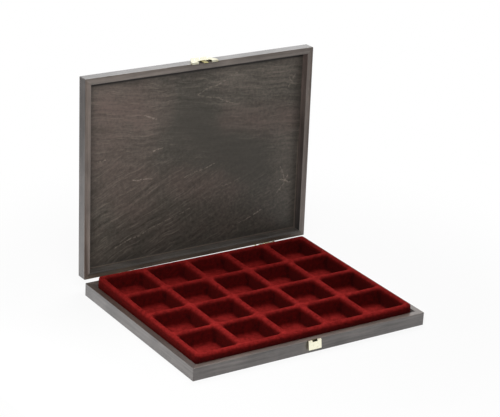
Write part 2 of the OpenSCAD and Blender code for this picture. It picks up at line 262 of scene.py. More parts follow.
def mapRange(value, low, high, start=0.0, end=1.0, curve="SMOOTHSTEP"):
    # start below low and end above high, along an S curve or a straight line between them
    return addNode("MapRange", {
        "Value": value, "From Min": low, "From Max": high, "To Min": start, "To Max": end},
        interpolation_type=curve).outputs["Result"]


def noise(place, scale, detail, roughness=0.5, distortion=0.0, output="Fac"):
    return addNode("TexNoise", {
        "Vector": place, "Scale": scale, "Detail": detail, "Roughness": roughness,
        "Distortion": distortion}).outputs[output]


def mixColor(factor, a, b, blend="MIX"):
    # the mix node's colours are its inputs 6 and 7 and its output 2
    return addNode("Mix", {0: factor, 6: a, 7: b}, data_type="RGBA", blend_type=blend).outputs[2]


def ramp(value, stops):
    # value to grey or colour along the stops (place, colour)
    node = addNode("ValToRGB", {"Fac": value})
    elements = node.color_ramp.elements
    while len(elements) < len(stops):
        elements.new(0.5)
    for element, (place, colour) in zip(elements, stops):
        element.position = place
        element.color = colour
    return node.outputs["Color"]


def uvPlace(tree, label):
    return addNode("UVMap", {}, tree, uv_map=label).outputs["UV"]


def objectPlace(tree):
    return addNode("TexCoord", {}, tree).outputs["Object"]


def bumpNormal(height, strength, depth):
    return addNode("Bump", {"Strength": strength, "Distance": depth, "Height": height}).outputs["Normal"]


def linear(r, g, b):
    # a colour given as 0-255 screen values, turned into the linear values that the shaders take
    def one(v):
        v /= 255
        return v / 12.92 if v <= 0.04045 else ((v + 0.055) / 1.055) ** 2.4
    return (one(r), one(g), one(b), 1.0)


# Veneer grain, shared by the rails and the panels: streaks, pores and flecks are noise stretched along the
# first axis of the turned coordinates; pores and flecks are finer and keep only their peaks

veneerGrain = {
    "streakDetail": 5.0, "streakRoughness": 0.62, "streakDistortion": 0.3, "peakDetail": 2.0,
    "peaks": {"Pores": {"finer": 5.5, "longer": 1.0, "low": 0.60, "high": 0.74},
              "Flecks": {"finer": 2.2, "longer": 0.9, "low": 0.56, "high": 0.70}},
}


def makeGrainGroup(v):
    group, inlet, outlet = newGroup("veneerGrain", {
        "Vector": "Vector", "Turn": "Vector", "Streak Scale": "Float", "Stretch": "Float"},
        ("Streaks", *v["peaks"]))
    turned = addNode("Mapping", {"Vector": inlet["Vector"], "Rotation": inlet["Turn"]})
    split = separate(turned.outputs[0])
    along = times(split[0], inlet["Stretch"])

    def stretched(run):
        return addNode("CombineXYZ", {0: run, 1: split[1], 2: split[2]}).outputs[0]

    streaks = noise(stretched(along), inlet["Streak Scale"], v["streakDetail"], v["streakRoughness"],
                    v["streakDistortion"])
    group.links.new(streaks, outlet["Streaks"])
    for label, peak in v["peaks"].items():
        scale = times(inlet["Streak Scale"], peak["finer"])
        fine = noise(stretched(times(along, peak["longer"])), scale, v["peakDetail"])
        group.links.new(mapRange(fine, peak["low"], peak["high"]), outlet[label])
    return group


grainGroup = makeGrainGroup(veneerGrain)


def grainLayer(place, v, turn=0.0):
    return addNode("Group", {
        "Vector": place, "Turn": (0, 0, math.radians(turn)), "Streak Scale": v["streakScale"],
        "Stretch": v["stretch"]}, node_tree=grainGroup).outputs


caseVeneer = {
    "dark": linear(52, 47, 45), "light": linear(108, 101, 98), "pore": linear(42, 37, 34),
    "rimDark": linear(72, 62, 55), "rimLight": linear(116, 102, 93), "joint": linear(40, 32, 27),
    "streakScale": 300.0, "stretch": 0.045, "cloudScale": 26.0, "cloudDetail": 3.0,
    "streakShare": 0.6, "cloudShare": 0.5, "toneLow": 0.36, "toneHigh": 0.74, "poreShare": 0.5,
    "veneer": 0.0007, "jointWidth": 0.0005, "rimDepth": 0.0004,  # metres
    "jointShare": 0.35,
    "roughLow": 0.30, "roughSpread": 0.12, "bump": 0.10, "bumpDepth": 0.0004,
    "coat": 1.0, "dullCoat": 0.75, "coatLow": 0.4, "coatHigh": 0.7, "coatRoughness": 0.26,
}


def makeCaseVeneer(v):
    material, tree, shader = newMaterial("caseVeneer")
    place = uvPlace(tree, "grainMap")
    grain = grainLayer(place, v)
    cloud = noise(place, v["cloudScale"], v["cloudDetail"])
    tone = plus(times(grain["Streaks"], v["streakShare"]), times(cloud, v["cloudShare"]))
    face, rim = (ramp(tone, ((v["toneLow"], v[dark]), (v["toneHigh"], v[light])))
                 for dark, light in (("dark", "light"), ("rimDark", "rimLight")))
    # the rim shows the rail's own wood between its veneers, with a dark joint behind each
    section = separate(uvPlace(tree, "sectionMap"))
    onRim = mapRange(section[1], v["rimDepth"] / 2, v["rimDepth"], 1.0, 0.0)
    fromFace = mathNode("MINIMUM", section[0], minus(railThick, section[0]))
    fromJoint = mathNode("ABSOLUTE", minus(fromFace, v["veneer"]))
    joint = mapRange(fromJoint, 0.0, v["jointWidth"], v["jointShare"], 0.0)
    body = mixColor(onRim, face, mixColor(joint, rim, v["joint"]))
    colour = mixColor(times(grain["Pores"], v["poreShare"]), body, v["pore"])
    # every rail is cut from its own strip of veneer: an attribute multiplies its colour by its own tone
    # together with painted light and shade on its faces and towards its ends; its alpha scales the gloss
    toneAndShade = addNode("Attribute", {}, tree, attribute_name="toneAndShade").outputs
    gloss = mapRange(tone, v["coatLow"], v["coatHigh"], v["dullCoat"], v["coat"], "LINEAR")
    relief = minus(grain["Streaks"], grain["Pores"])
    setSockets(shader, {
        "Base Color": mixColor(1.0, colour, toneAndShade["Color"], "MULTIPLY"),
        "Roughness": plus(times(grain["Streaks"], v["roughSpread"]), v["roughLow"]),
        "Normal": bumpNormal(relief, v["bump"], v["bumpDepth"]),
        "Coat Weight": times(gloss, toneAndShade["Alpha"]), "Coat Roughness": v["coatRoughness"]})
    return material


# One line of figure in the veneer: a soft mask round the stretch between two points,
# from the distance |p - a - t (b - a)| with t held between 0 and 1

def makeFigureGroup():
    group, inlet, outlet = newGroup("figureLine", {
        "Vector": "Vector", "Start": "Vector", "End": "Vector", "Width": "Float"}, ("Mask",))
    fromStart = vectorNode("SUBTRACT", inlet["Vector"], inlet["Start"])
    whole = vectorNode("SUBTRACT", inlet["End"], inlet["Start"])
    share = mathNode("DIVIDE", vectorNode("DOT_PRODUCT", fromStart, whole, "Value"),
                     vectorNode("DOT_PRODUCT", whole, whole, "Value"), clamp=True)
    reach = addNode("VectorMath", {0: whole, "Scale": share}, operation="SCALE").outputs["Vector"]
    gap = vectorNode("LENGTH", vectorNode("SUBTRACT", fromStart, reach), output="Value")
    group.links.new(mapRange(gap, 0.0, inlet["Width"], 1.0, 0.0), outlet["Mask"])
    return group


figureGroup = makeFigureGroup()

# Figure of the panels: light lines, and broad zones that are lighter or darker, warmer, smoother or plainer.
# Millimetres right of the middle and towards the hinges, as the lid's inside is seen

panelFigure = [  # start, end, width and share of each line
    ((60, -106), (24, -93), 1.6, 0.45),
    ((24, -93), (-2, -84), 1.5, 0.35),
    ((-2, -84), (30, -76), 1.3, 0.3),
    ((30, -76), (51, -67), 1.4, 0.6),
    ((131, 31), (138, 49), 1.8, 0.6),
    ((126, 66), (138, 52), 1.8, 0.8),
    ((127, 47), (147, 53), 1.6, 0.9),
    ((134, 58), (143, 44), 1.5, 0.9),
    ((147, -93), (137, -75), 1.6, 0.5),
    ((137, -88), (148, -78), 1.4, 0.4),
    ((-90, 13), (-80, 15), 1.5, 0.9),
    ((-80, 14), (-64, 16), 1.2, 0.8),
    ((-64, -21), (-50, -22), 1.5, 0.8),
    ((-142, -19), (-131, -20), 1.5, 0.7),
    ((-77, -70), (-60, -62), 1.8, 0.7),
    ((-115, 101), (-74, 86), 1.3, 0.5),
    ((-69, 84), (-7, 66), 1.2, 0.4),
    ((60, 104), (88, 93), 1.0, 0.5),
    ((88, 93), (103, 85), 1.4, 0.8),
    ((-17, 22), (26, 11), 1.4, 0.5),
    ((40, 42), (66, 36), 1.3, 0.4),
]
panelZones = [  # start, end, width and what each zone adds
    ((-15, -52), (78, 12), 60, {"tone": -0.10, "smooth": 0.85, "warm": -0.2}),
    ((-125, -92), (-75, -70), 64, {"tone": 0.20, "warm": 0.55}),
    ((-140, -30), (-95, 20), 72, {"tone": 0.08, "warm": 0.45}),
    ((55, -100), (135, -95), 58, {"tone": 0.20, "warm": -0.1}),
    ((45, -46), (138, -32), 32, {"tone": 0.12, "warm": 0.6}),
    ((138, -5), (142, 75), 44, {"tone": 0.16, "smooth": 0.2, "warm": -0.1}),
    ((-20, 30), (45, 45), 36, {"tone": 0.03, "warm": 0.5}),
    ((-85, 96), (110, 108), 64, {"tone": -0.16, "warm": 0.1}),
    ((30, 72), (125, 95), 78, {"plain": 0.7}),
]

panelVeneer = {
    "dark": linear(44, 41, 37), "middle": linear(76, 72, 65), "light": linear(112, 104, 96),
    "darkPlace": 0.1, "middlePlace": 0.5, "lightPlace": 0.9,
    "warm": linear(106, 87, 81), "pore": linear(38, 34, 30), "fleck": linear(158, 146, 134),
    "streakScale": 190.0, "stretch": 0.09, "streakShare": 1.1,
    "speckleScale": 230.0, "speckleDetail": 4.0, "speckleRoughness": 0.7,
    "speckleShare": 0.9, "plainSpeckle": 0.5,
    "smoothLeft": 0.25,  # share of the texture that is left where the veneer is smooth
    "waverScale": 24.0, "waverDetail": 2.0, "waver": 0.012,
    "upperTurn": -6.0, "lowerTurn": 24.0,  # degrees that the grain turns in the upper and in the lower half
    "turnLow": -0.03, "turnHigh": 0.03, "turnSlope": -0.15,
    "warmScale": 30.0, "warmDetail": 3.0, "warmMiddle": 0.45, "warmSpread": 0.9,
    "poreShare": 0.35, "fleckShare": 0.2, "breakLow": 0.38, "breakHigh": 0.6,
    "edgeReach": 0.018, "edgeShade": 0.5, "edge": linear(30, 26, 23),  # painted shade along the frame
    "frontFull": 0.0052, "frontEnd": 0.0072, "frontShade": 1.0,  # and deepest inside the front rail, a painted shadow cast by it
    "bead": linear(146, 130, 118), "beadShare": 0.32,  # a thin light line along the frame
    "beadPlace": 0.0012, "beadWidth": 0.0014,  # metres from the frame, and half the bead's width
    "beadTop": -0.03, "beadFull": 0.02,  # metres towards the hinges, where the right side's bead sets in
    "roughness": 0.5, "specular": 0.3, "coat": 0.12, "coatRoughness": 0.3, "bump": 0.10, "bumpDepth": 0.0004,
}


def lineMask(place, start, end, width):
    # a line of figure given in millimetres, over coordinates in metres
    (startX, startY), (endX, endY) = start, end
    return addNode("Group", {
        "Vector": place, "Start": (startX / 1000, startY / 1000, 0), "End": (endX / 1000, endY / 1000, 0),
        "Width": width / 1000}, node_tree=figureGroup).outputs["Mask"]


def frameShadeAndLine(tree, colour, v):
    # painted shade along the frame, deepest inside the front rail as a painted shadow cast by it; over it a
    # thin light line along the hinges and up the right side. The edge map holds the place about the panel's
    # middle
    sides = separate(uvPlace(tree, "edgeMap"))
    fromEdge = mathNode("MINIMUM", *(minus(half, mathNode("ABSOLUTE", side))
                                     for half, side in zip(panelOpening, sides)))
    frameShade = mapRange(fromEdge, 0.0, v["edgeReach"], v["edgeShade"], 0.0)
    fromFront = plus(sides[1], panelOpening[1])
    front = mapRange(fromFront, v["frontFull"], v["frontEnd"], v["frontShade"], 0.0)
    frameShaded = mixColor(front, mixColor(frameShade, colour, v["edge"]), v["edge"])
    rightBead, hingeBead = (
        mapRange(mathNode("ABSOLUTE", minus(half - v["beadPlace"], side)),
                 0.0, v["beadWidth"], v["beadShare"], 0.0) for half, side in zip(panelOpening, sides))
    rightBead = times(rightBead, mapRange(sides[1], v["beadTop"], v["beadFull"]))
    return mixColor(mathNode("MAXIMUM", rightBead, hingeBead), frameShaded, v["bead"])


def makePanelVeneer(v):
    material, tree, shader = newMaterial("panelVeneer")
    place = uvPlace(tree, "grainMap")
    # the grain wavers: the coordinates are pushed a few millimetres about their place by broad noise
    push = noise(place, v["waverScale"], v["waverDetail"], output="Color")
    waver = addNode("VectorMath", {
        0: vectorNode("SUBTRACT", push, (0.5, 0.5, 0.5)), 1: (v["waver"], v["waver"], 0.0), 2: place},
        operation="MULTIPLY_ADD").outputs["Vector"]
    # and it turns from the upper half to the lower, across a slanting band
    split = separate(waver)
    across = plus(split[1], times(split[0], v["turnSlope"]))
    lower = mapRange(across, v["turnLow"], v["turnHigh"])
    layers = [grainLayer(waver, v, v[turn]) for turn in ("upperTurn", "lowerTurn")]
    streaks, pores, flecks = (
        addNode("Mix", {0: lower, 2: layers[0][label], 3: layers[1][label]}, data_type="FLOAT").outputs[0]
        for label in ("Streaks", "Pores", "Flecks"))
    speckle = noise(waver, v["speckleScale"], v["speckleDetail"], v["speckleRoughness"])
    # the zones add up to a shift of tone, and shares of warmth, of smoothness and of grain left out
    sums = {"tone": 0.0, "smooth": 0.0, "warm": 0.0, "plain": 0.0}
    for start, end, width, adds in panelZones:
        mask = lineMask(waver, start, end, width)
        for key, share in adds.items():
            sums[key] = plus(times(mask, share), sums[key])
    rough, grained = (minus(1.0, sums[key], clamp=True) for key in ("smooth", "plain"))
    streaky = times(minus(streaks, 0.5), times(grained, v["streakShare"]))
    speckled = times(minus(speckle, 0.5), plus(times(sums["plain"], v["plainSpeckle"]), v["speckleShare"]))
    left = plus(times(rough, 1 - v["smoothLeft"]), v["smoothLeft"])
    texture = times(plus(streaky, speckled), left)
    tone = plus(plus(texture, sums["tone"]), 0.5, clamp=True)
    body = ramp(tone, [(v[key + "Place"], v[key]) for key in ("dark", "middle", "light")])
    drift = minus(noise(place, v["warmScale"], v["warmDetail"]), v["warmMiddle"])
    warmth = plus(sums["warm"], times(drift, v["warmSpread"]), clamp=True)
    tinted = mixColor(times(warmth, tone), body, v["warm"])
    colour = mixColor(times(pores, v["poreShare"]), tinted, v["pore"])
    # light marks: flecks along the grain, and the lines of the figure, broken up by the speckle
    light = times(times(flecks, times(rough, grained)), v["fleckShare"])
    breaks = mapRange(speckle, v["breakLow"], v["breakHigh"])
    for start, end, width, share in panelFigure:
        mark = times(lineMask(waver, start, end, width), times(breaks, share))
        light = mathNode("MAXIMUM", light, mark)
    setSockets(shader, {
        "Base Color": frameShadeAndLine(tree, mixColor(light, colour, v["fleck"]), v),
        "Roughness": v["roughness"], "Specular IOR Level": v["specular"],
        "Normal": bumpNormal(minus(streaks, pores), v["bump"], v["bumpDepth"]),
        "Coat Weight": v["coat"], "Coat Roughness": v["coatRoughness"]})
    return material


flock = {
    "wallDeep": linear(40, 0, 0), "wallNap": linear(84, 5, 4),  # painted shade: the flock's colours where it is shaded, on walls and the skirt
    "topDeep": linear(106, 12, 11), "topNap": linear(174, 45, 43),  # painted light: the same flock's colours where it is lit, on crests and floors
    "brushScale": 210.0, "brushDetail": 4.0, "brushRoughness": 0.65, "brushShare": 0.6,
    "fibreScale": 2600.0, "fibreDetail": 2.0, "fibreRoughness": 0.7, "fibreShare": 0.4,
    "toneLow": 0.36, "toneHigh": 0.64, "leanShade": 0.3,
    "roughness": 0.95, "specular": 0.1, "bump": 0.5, "bumpDepth": 0.0005,
    "sheen": 0.35, "sheenRoughness": 0.5, "sheenTint": linear(224, 50, 42),
}


def makeFlock(v):
    # painted light and shade: the tray's painted shading mixes the shaded colours, 0, with the lit ones, 1;
    # below 0 it darkens them further as painted shade
    material, tree, shader = newMaterial("redFlock")
    place = objectPlace(tree)
    brushed, fibre = (noise(place, v[kind + "Scale"], v[kind + "Detail"], v[kind + "Roughness"])
                      for kind in ("brush", "fibre"))
    tone = plus(times(brushed, v["brushShare"]), times(fibre, v["fibreShare"]))
    paintedShading = addNode("Attribute", {}, tree, attribute_name="paintedShading").outputs["Fac"]
    awayShade = times(mathNode("MINIMUM", paintedShading, 0.0), v["leanShade"])
    wall, top = (ramp(value, ((v["toneLow"], v[side + "Deep"]), (v["toneHigh"], v[side + "Nap"])))
                 for side, value in (("wall", plus(tone, awayShade)), ("top", tone)))
    setSockets(shader, {
        "Base Color": mixColor(paintedShading, wall, top),
        "Roughness": v["roughness"], "Specular IOR Level": v["specular"],
        "Sheen Weight": v["sheen"], "Sheen Roughness": v["sheenRoughness"], "Sheen Tint": v["sheenTint"],
        "Normal": bumpNormal(fibre, v["bump"], v["bumpDepth"])})
    return material


brass = {
    "bright": (0.97, 0.94, 0.74, 1.0), "dull": (0.82, 0.76, 0.50, 1.0), "nearWoodShade": (0.10, 0.09, 0.035, 1.0),
    "tarnishScale": 160.0, "tarnishDetail": 4.0, "tarnishRoughness": 0.6,
    "tarnishLow": 0.5, "tarnishHigh": 0.8,
    "shadeLow": 0.0011, "shadeHigh": 0.0019, "shadeShare": 0.9,  # painted shade next to the wood; low and high in metres from it
    "roughness": 0.16, "roughSpread": 0.12,
    "scratchScale": 1900.0, "scratchDetail": 2.0, "bump": 0.05, "bumpDepth": 0.0002,
}
# the clasp's painted shade lies closer to the wood
claspBrass = {**brass, "shadeLow": 0.0003, "shadeHigh": 0.0007}
# the tongue's brass is painted dark, as painted shade in the clasp's notch
shadedTongueBrass = {**brass, "bright": (0.26, 0.23, 0.10, 1.0), "dull": (0.16, 0.14, 0.05, 1.0), "roughness": 0.34}


def makeBrass(name, v, wood, outward):
    # tarnished in patches; painted shade darkens the metal next to the wood, by the depth from a point on it
    # along its normal
    material, tree, shader = newMaterial(name)
    place = objectPlace(tree)
    tarnish = noise(place, v["tarnishScale"], v["tarnishDetail"], v["tarnishRoughness"])
    scratch = noise(place, v["scratchScale"], v["scratchDetail"])
    metal = ramp(tarnish, ((v["tarnishLow"], v["bright"]), (v["tarnishHigh"], v["dull"])))
    depth = vectorNode("DOT_PRODUCT", vectorNode("SUBTRACT", place, wood), outward, "Value")
    nearWoodShade = mapRange(depth, v["shadeLow"], v["shadeHigh"], v["shadeShare"], 0.0)
    setSockets(shader, {
        "Base Color": mixColor(nearWoodShade, metal, v["nearWoodShade"]), "Metallic": 1.0,
        "Roughness": plus(v["roughness"], times(tarnish, v["roughSpread"])),
        "Normal": bumpNormal(scratch, v["bump"], v["bumpDepth"])})
    return material


railMaterial = makeCaseVeneer(caseVeneer)
panelMaterial = makePanelVeneer(panelVeneer)
flockMaterial = makeFlock(flock)
forwards, backwards = np.array((0.0, -1.0, 0.0)), np.array((0.0, 1.0, 0.0))
frontPoint = np.array((0.0, frontLow[1], 0.0))
lidFront = swing(frontPoint, -openAngle)
lidOutward = swing(frontPoint + forwards, -openAngle) - lidFront
brassMaterials = {
    "catch": makeBrass("catchBrass", brass, frontPoint, forwards),
    "clasp": makeBrass("claspBrass", claspBrass, lidFront, lidOutward),
    "tongue": makeBrass("shadedTongueBrass", shadedTongueBrass, lidFront, lidOutward),
    "hinge": makeBrass("hingeBrass", brass, frontPoint, backwards),  # no painted shade, as the front face is far away
}
print("materials made")


# Rails: one section carried along each side of the frame, mitred and rounded at the corners

railShape = {
    "outerEdge": 0.0004, "rimInnerEdge": 0.0002, "rebateEdge": 0.0002,  # radii in metres
    "cornerRound": 0.0010, "mitreGap": 0.00003, "arcSteps": 4, "support": 0.0002, "cornerSteps": 5,
    "grainStep": (1.37, 0.61),  # metres along and across the veneer from one rail's strip to the next
    "baseStrip": 1, "lidStrip": 6,  # the front rails' places among the strips
    # a rail's own tone, partly its strip of veneer's and partly painted light (the lid's front rail) and
    # painted shade (its back rail), and its gloss; a share of painted light for its outer face; for each of
    # its ends, shares at the rim's outer and inner edge and at the inner wall's rim and foot, painted light
    # above 1 and painted shade below it; and the wall's painted red reflection of the tray
    "tonesAndShades": {
        # the lid's front rail, on top when open: a lighter, greyer strip together with painted light, most on
        # its outer face, which faces up
        "lid_front_rail": {"whole": (1.12, 1.20, 1.25), "outer": 1.45},
        # the lid's back rail, at its foot when open: a darker strip together with painted shade; painted
        # light on its inner wall and the rim's outer edge, painted shade at the rim's inner edge
        "lid_back_rail": {"whole": (0.66, 0.68, 0.64), "gloss": 0.35, "rim": ((1.7, 0.25), (1.7, 0.25)),
                          "wall": ((1.5, 1.5), (1.5, 1.5))},
        # painted shade on the lid's right inner wall, near black towards the hinges, with a painted red
        # reflection of the tray over it
        "lid_right_rail": {"wall": ((1.3, 1.7), (0.0, 0.2)), "wallRedReflection": (1.0, 0.86, 0.80)},
        # the base's left rim is darker towards the front
        "base_left_rail": {"rim": ((0.85, 0.85), (0.35, 0.35))},
    },
}


def railSection(height, panelThick, shape):
    # (inset from the outer face, height from the panel's outer face), with the rebate at the inner foot
    inner = railThick - rebateWidth
    corners = [(0, 0), (0, height), (railThick, height),
               (railThick, panelThick), (inner, panelThick), (inner, 0)]
    e, r, s = shape["outerEdge"], shape["rimInnerEdge"], shape["rebateEdge"]
    return roundedLoop(corners, (e, e, r, s, s, s), shape["arcSteps"], shape["support"])


def railToneAndShade(own, rows, cols):
    # each of the section's six corners has as many points: the first end one face, the others start the next;
    # faces are counted from the outer one, 0, so the rim is 1 and the inner wall 2
    plain = (1.0, 1.0)
    perCorner = cols // 6
    corner, place = np.divmod(np.arange(cols), perCorner)
    starts = place > perCorner // 2
    face = np.where(starts, corner, corner - 1)
    edge = np.where(starts, 0, 1)
    rim, wall = (np.array(own.get(key, (plain, plain)))[:, edge] for key in ("rim", "wall"))
    share = np.select([face == 0, face == 1, face == 2], [own.get("outer", 1.0), rim, wall], 1.0)
    # the inner wall's painted red reflection
    wallRedReflection = np.where((face == 2)[:, None], own.get("wallRedReflection", (1.0, 1.0, 1.0)), 1.0)
    toneAndShade = share[..., None] * np.array(own.get("whole", (1.0, 1.0, 1.0))) * wallRedReflection
    return np.concatenate([toneAndShade, np.full((2, cols, 1), own.get("gloss", 1.0))], -1).repeat(rows // 2, axis=0)


def makeRail(name, node, turn, lid, order):
    # the section's points run along X to the 45 degree mitre; those nearer the outside than the corner radius
    # turn an arc
    shape = railShape
    height, panelThick = (lidHeight, lidPanelThick) if lid else (baseHeight, basePanelThick)
    length, across = (caseWidth, caseDepth) if turn % 180 == 0 else (caseDepth, caseWidth)
    section = railSection(height, panelThick, shape)
    inset, level = section[:, 0], section[:, 1]
    bend = np.linspace(0, math.pi / 4, shape["cornerSteps"] + 1)[:, None]
    radius = np.maximum(shape["cornerRound"] - inset, 0)
    turnsAt = np.maximum(shape["cornerRound"], inset)
    endX = length / 2 - turnsAt - shape["mitreGap"] + np.sin(bend) * radius
    endInset = turnsAt - np.cos(bend) * radius
    x = np.concatenate([-endX[::-1], endX])
    deep = np.concatenate([endInset[::-1], endInset])
    rows, cols = x.shape
    points = np.stack([x, deep - across / 2, np.broadcast_to(level, x.shape)], -1).reshape(-1, 3)
    points[:, :2] = points[:, :2] @ spin(math.radians(turn))
    if lid:
        points[:, 2] = rimLevel + lidHeight - points[:, 2]
        points = swing(points, -openAngle)
    # the grain map runs along the rail and round its section; the section map is inset and depth from the rim
    closed = np.vstack([section, section[:1]])
    around = np.concatenate([[0], np.cumsum(np.linalg.norm(np.diff(closed, axis=0), axis=1))])
    r = np.repeat(np.arange(rows - 1), cols)
    c = np.tile(np.arange(cols), rows - 1)
    nextC = (c + 1) % cols
    u = np.stack([x[r, c], x[r, nextC], x[r + 1, nextC], x[r + 1, c]], -1)
    v = np.stack([around[c], around[c + 1], around[c + 1], around[c]], -1)
    grain = np.stack([u, v], -1) + order * np.array(shape["grainStep"])
    ring = np.stack([c, nextC, nextC, c], -1)
    depths = np.stack([inset[ring], height - level[ring]], -1)
    quads = gridQuads(rows, cols)
    caps = np.stack([np.arange(cols)[::-1], np.arange(cols) + (rows - 1) * cols])
    capGrain = np.stack([section[::-1], section]) + order
    if facesInwards(points, quads):
        flipped = (block[:, ::-1] for block in (quads, grain, depths, caps, capGrain))
        quads, grain, depths, caps, capGrain = flipped
    uvMaps = {"grainMap": [grain, capGrain], "sectionMap": [depths, np.full((*caps.shape, 2), height / 2)]}
    body = "lid" if lid else "base"
    piece = addPiece(name, node, points, [quads, caps], uvMaps, railMaterial, body)
    toneAndShade = railToneAndShade(shape["tonesAndShades"].get(node, {}), rows, cols).astype(np.float32)
    piece.data.attributes.new("toneAndShade", "FLOAT_COLOR", "POINT").data.foreach_set("color", toneAndShade.ravel())


for order, (side, turn) in enumerate((("front", 0), ("right", 90), ("back", 180), ("left", 270))):
    makeRail(f"baseRail.{side}", f"base_{side}_rail", turn, False, order + railShape["baseStrip"])
    makeRail(f"lidRail.{side}", f"lid_{side}_rail", turn, True, order + railShape["lidStrip"])
print("rails made")


# Panels: a slab with eased edges, from its outline carried round a small edge section

panelShape = {
    "ease": 0.0003, "easeSteps": 3,
    "edgeStretch": 30,  # metres of grain for each metre of the slab's depth
    "baseShift": (3.3, 1.65),  # metres from the lid panel's stretch of veneer to the base panel's
}


def makePanel(name, node, low, high, lid, shift):
    # rings of the outline run from the lower face round the edge to the upper; one quad closes each face
    ease = panelShape["ease"]
    half = (high - low) / 2
    centre = (high + low) / 2
    thick = high[2] - low[2]
    arc = np.linspace(0, math.pi / 2, panelShape["easeSteps"] + 1)
    pull = np.concatenate([[2 * ease], ease * (1 - np.sin(arc)), ease * (1 - np.cos(arc)), [2 * ease]])
    rise = np.concatenate([[0], ease * (1 - np.cos(arc)), thick - ease * (1 - np.sin(arc)), [thick]])
    signs = np.array([(-1, -1), (1, -1), (1, 1), (-1, 1)], float)
    points = addLevel((half[:2] - pull[:, None])[:, None, :] * signs, rise)
    points = points + np.array([centre[0], centre[1], low[2]])
    rows, cols = points.shape[:2]
    closing = np.array([[3, 2, 1, 0], [0, 1, 2, 3]]) + np.array([[0], [(rows - 1) * cols]])
    quads = np.concatenate([gridQuads(rows, cols), closing])
    flat = points.reshape(-1, 3)
    placed = swing(flat, -openAngle) if lid else flat
    if facesInwards(placed, quads):
        quads = quads[:, ::-1]
    grain = flat[:, :2] + np.array(shift)
    grain[:, 1] += (flat[:, 2] - low[2]) * panelShape["edgeStretch"]
    # the face inside the case carries its place about the middle, the outer face stays at the middle
    innerLevel = low[2] if lid else high[2]
    inside = np.abs(flat[:, 2] - innerLevel) < ease
    spots = np.where(inside[:, None], flat[:, :2] - centre[:2], 0.0)
    uvMaps = {"grainMap": [grain[quads]], "edgeMap": [spots[quads]]}
    addPiece(name, node, placed, [quads], uvMaps, panelMaterial, "lid" if lid else "base")


makePanel("basePanel", "base_panel", basePanelLow, basePanelHigh, False, panelShape["baseShift"])
makePanel("lidPanel", "lid_panel", lidPanelLow, lidPanelHigh, True, (0.0, 0.0))
print("panels made")


# Tray: every pocket is a wall section carried round a rounded square, and the skirt is one carried round the
# whole tray. Its painted shading is 1 where painted lit, 0 where painted shaded, and less where painted
# darker still

trayLow, trayHigh = nodeBox("coin_tray")
tray = {
    "cols": 5, "rows": 4,
    "crestFlat": 0.0003, "crestRound": 0.0036, "wallLean": 0.0011, "floorRound": 0.0040,  # metres
    "skirtLean": 0.0004, "floorSkin": 0.0015, "sheet": 0.0012, "pile": 0.0010,
    "pocketCorner": 0.0052, "floorCorner": 0.0068, "trayCorner": 0.008,
    "floorRings": (0.8, 0.55, 0.3),  # shares of the floor's outline
    "leftPull": 0.0008, "pullPower": 8,  # the left border is a little narrower than the others
    "springBack": 0.0007, "springLeft": 0.0014,  # rise of the sheet at the back, and more at the left
    "sideSteps": 6, "cornerSteps": 8, "arcSteps": 6, "wallSteps": 5, "touching": 0.000001, "digits": 7,
    # painted light on the crests, more where they cross; painted shade on walls that face left and on the
    # skirt
    "crestLight": 0.70, "crossingReach": 0.012, "wallShade": -0.5, "skirtShading": -0.9,
    "shoulderShading": (0.14, -0.12),  # painted light on the shoulders that face left, painted shade on those that face front
    "skirtShoulder": (0.12, 0.25),  # painted light on the skirt's shoulders at the sides, and at the front and back
    "floorLight": (0.50, 0.75, 0.86, 0.86), "floorSlant": 0.30,  # painted light from the floor's edge to its middle, and more to the front left
    "sideShade": (0.08, 0.3), "sideShadePower": 24,  # painted shade at the left border and at the right one
}
trayTop = trayHigh[2]
trayFloor = trayLow[2] + tray["floorSkin"]
halfCrest = tray["crestFlat"] + tray["crestRound"]
shoulderArc = np.linspace(0, math.pi / 2, tray["arcSteps"] + 1)


def pocketPath(half, corner, t):
    # rounded rectangle, counterclockwise from the foot of the right side: points and outward normals
    side = np.linspace(0, 1, t["sideSteps"] + 1)[:-1]
    turn = np.linspace(0, math.pi / 2, t["cornerSteps"] + 1)[:-1]
    bend = np.stack([np.cos(turn), np.sin(turn)], -1)
    normal = np.concatenate([np.tile([1.0, 0.0], (len(side), 1)), bend])
    points, normals = [], []
    for quarter in range(4):
        a, b = half[::-1] if quarter % 2 else half
        straight = np.stack([np.full(len(side), a), (2 * side - 1) * (b - corner)], -1)
        curve = np.array([a, b]) - corner + corner * bend
        turned = spin(quarter * math.pi / 2)
        points.append(np.concatenate([straight, curve]) @ turned)
        normals.append(normal @ turned)
    return np.concatenate(points), np.concatenate(normals)


def pocketSection(t):
    # (inset, level) over the shoulder, down the leaning wall and round into the floor, and the corner radius
    # there; the pile stands on the sheet along its normal, whose level part is steep and upright part flat
    arc = shoulderArc
    shoulder = np.stack([t["crestRound"] * np.sin(arc), trayTop - t["crestRound"] * (1 - np.cos(arc))], -1)
    down = np.linspace(0, 1, t["wallSteps"] + 1)[1:, None]
    wallEnd = np.array([t["crestRound"] + t["wallLean"], trayFloor + t["floorRound"]])
    wall = shoulder[-1] + down * (wallEnd - shoulder[-1])
    cove = np.stack([wallEnd[0] + t["floorRound"] * (1 - np.cos(arc[1:])),
                     trayFloor + t["floorRound"] * (1 - np.sin(arc[1:]))], -1)
    steep = np.concatenate([np.sin(arc), np.ones(t["wallSteps"]), np.cos(arc[1:])])
    flat = np.concatenate([np.cos(arc), np.zeros(t["wallSteps"]), np.sin(arc[1:])])
    section = np.concatenate([shoulder, wall, cove])
    widen = (t["floorCorner"] - t["pocketCorner"]) * section[:, 0] / section[-1, 0]
    return section + t["pile"] * np.stack([steep, flat], -1), t["pocketCorner"] + widen - t["pile"] * steep


